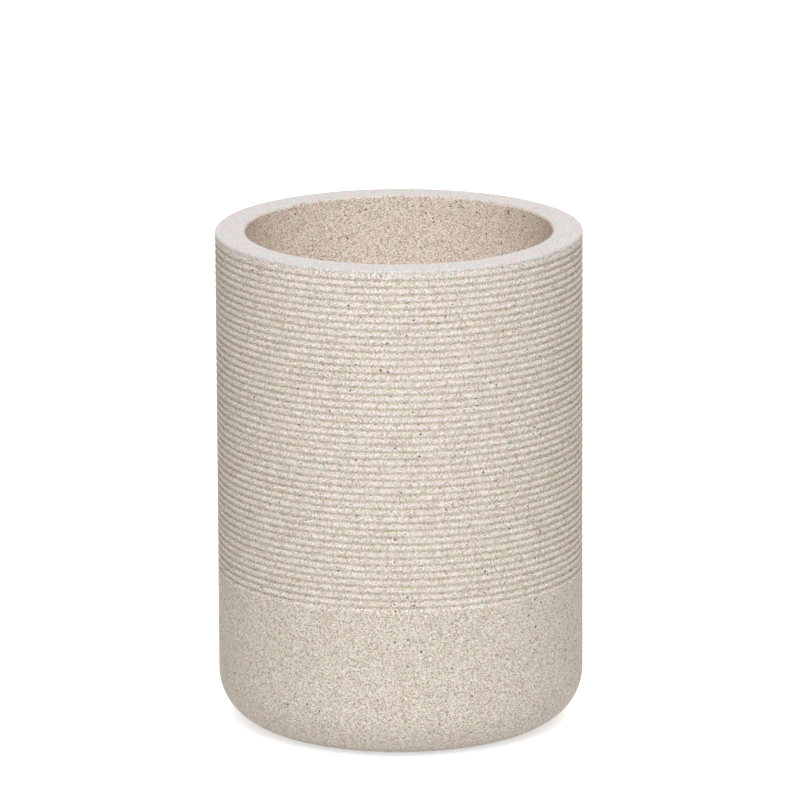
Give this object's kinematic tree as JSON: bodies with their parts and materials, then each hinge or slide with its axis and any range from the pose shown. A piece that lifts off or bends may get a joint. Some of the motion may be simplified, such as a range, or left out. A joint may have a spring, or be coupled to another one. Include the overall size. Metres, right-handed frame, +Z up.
{
  "type": "bathroom tumbler",
  "caption": "Straight bathroom tumbler cast in sandstone-look resin, with a finely grooved upper wall, plain band, thick flat rim, round foot and foam base pad.",
  "frame": {"origin": "centre of the foam pad's underside, on the surface that the tumbler stands on", "axes": "+Z up along the cup's axis, out of its mouth; the cup is round, so X and Y are free, and the picture looks along +Y"},
  "size_m": [0.076, 0.076, 0.1045],
  "materials": {
    "cast_stone_resin": "matt, fine sand grain with dark specks, slightly polished on the rim",
    "adhesive_film": "thin double-sided film",
    "eva_foam": "closed-cell foam, matt"
  },
  "bodies": {
    "root": {"cup_body": "cast_stone_resin", "pad_adhesive": "adhesive_film", "base_pad": "eva_foam"}
  },
  "joints": []
}
